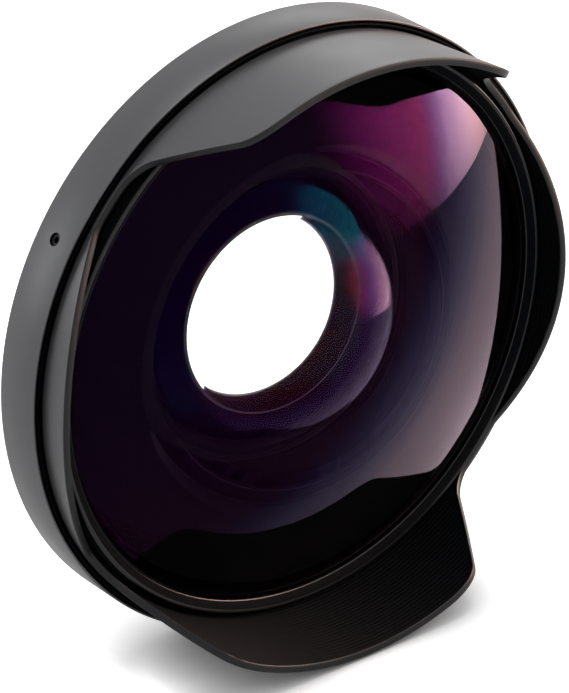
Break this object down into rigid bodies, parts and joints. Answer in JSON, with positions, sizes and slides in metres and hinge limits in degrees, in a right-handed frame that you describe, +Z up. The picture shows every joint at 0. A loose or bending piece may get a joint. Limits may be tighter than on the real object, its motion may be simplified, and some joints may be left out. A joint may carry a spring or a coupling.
{
  "type": "screw-on fisheye lens",
  "caption": "Round screw-on fisheye lens: bulging coated front glass in a smooth black band, a turning petal hood held by small set screws, and a threaded rear mount.",
  "frame": {"origin": "on the optical axis, in the plane of the rear flange that the thread's mating part seats against", "axes": "+Y along the optical axis, out of the rear thread, so the front glass looks along -Y; +Z up, three degrees from the middle of a long petal as the hood stands at rest; +X to the right of someone standing in front of the glass and looking along +Y"},
  "size_m": [0.1, 0.0446, 0.1],
  "materials": {
    "black_anodised": "satin black anodised aluminium",
    "slip_plastic": "plain off-white low-friction plastic",
    "black_steel": "blackened steel",
    "coated_glass": "polished, with a violet and green anti-reflection coating",
    "seal_rubber": "matt black rubber",
    "matt_black": "dead black, light-absorbing"
  },
  "bodies": {
    "lens_body": {"barrel": "black_anodised", "slip_ring": "slip_plastic", "front_element": "coated_glass", "front_gasket": "seal_rubber", "light_baffle": "matt_black", "front_retaining_ring": "black_anodised", "rear_cell": "black_anodised", "cell_lock_ring": "black_anodised", "second_element": "coated_glass", "second_retaining_ring": "black_anodised", "crown_element": "coated_glass", "flint_element": "coated_glass", "rear_retaining_ring": "black_anodised", "mount_ring": "black_anodised", "mount_seal": "seal_rubber", "mount_screws": "black_steel"},
    "hood": {"petal_hood": "black_anodised"},
    "screw_1": {"set_screw_1": "black_steel"},
    "screw_2": {"set_screw_2": "black_steel"},
    "screw_3": {"set_screw_3": "black_steel"}
  },
  "joints": [
    {"name": "hood_turn", "type": "hinge", "parent": "lens_body", "child": "hood", "pos_m": [0, -0.0187, 0], "axis": [0, 1, 0], "continuous": true},
    {"name": "set_screw_1_back_out", "type": "slide", "parent": "lens_body", "child": "screw_1", "axis": [-0.848, 0, 0.5299], "range_m": [0, 0.0012]},
    {"name": "set_screw_2_back_out", "type": "slide", "parent": "lens_body", "child": "screw_2", "axis": [-0.0349, 0, -0.9994], "range_m": [0, 0.0012]},
    {"name": "set_screw_3_back_out", "type": "slide", "parent": "lens_body", "child": "screw_3", "axis": [0.8829, 0, 0.4695], "range_m": [0, 0.0012]}
  ]
}
